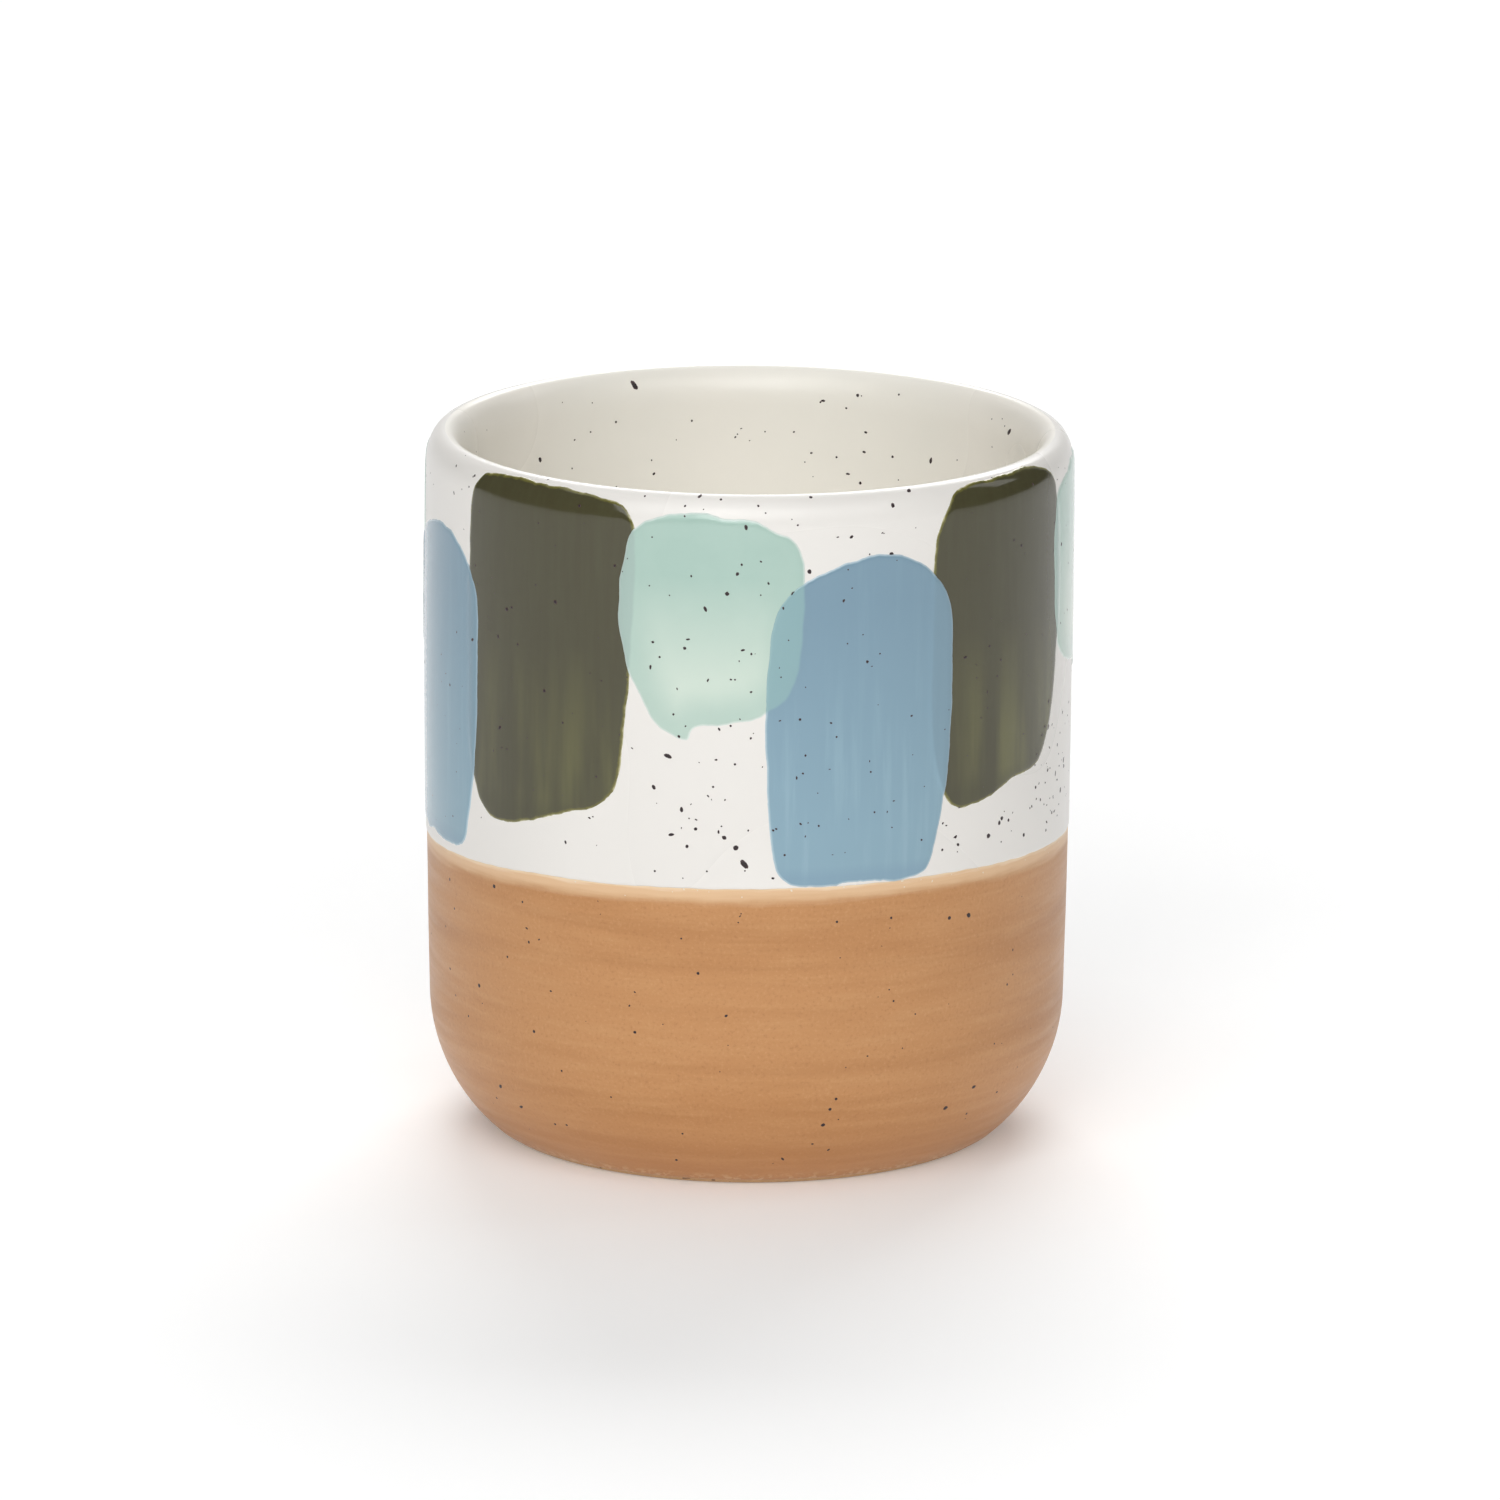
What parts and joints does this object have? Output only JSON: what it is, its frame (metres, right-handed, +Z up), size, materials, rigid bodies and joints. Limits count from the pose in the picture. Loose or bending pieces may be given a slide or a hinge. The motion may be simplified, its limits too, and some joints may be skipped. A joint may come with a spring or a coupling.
{
  "type": "stoneware mug",
  "caption": "Handleless stoneware tumbler mug with a rounded lower edge, a recessed foot, a white glazed upper half with overlapping brush strokes and a tan slipped lower half.",
  "frame": {"origin": "centre of the foot, on the surface that the mug stands on", "axes": "+Z up along the mug's axis, -Y towards the front, where a pale mint stroke lies between a dark olive one and a grey-blue one"},
  "size_m": [0.0904, 0.0905, 0.099],
  "materials": {
    "fired_clay": "matt",
    "liner_glaze": "satin",
    "white_glaze": "satin",
    "tan_slip": "satin",
    "olive_glaze": "gloss",
    "mint_glaze": "satin",
    "blue_glaze": "gloss"
  },
  "bodies": {
    "root": {"stoneware_body": "fired_clay", "liner_glaze": "liner_glaze", "outer_glaze": "white_glaze", "base_slip": "tan_slip", "olive_stroke_1": "olive_glaze", "olive_stroke_2": "olive_glaze", "olive_stroke_3": "olive_glaze", "olive_stroke_4": "olive_glaze", "mint_stroke_1": "mint_glaze", "mint_stroke_2": "mint_glaze", "mint_stroke_3": "mint_glaze", "mint_stroke_4": "mint_glaze", "blue_stroke_1": "blue_glaze", "blue_stroke_2": "blue_glaze", "blue_stroke_3": "blue_glaze", "blue_stroke_4": "blue_glaze"}
  },
  "joints": []
}
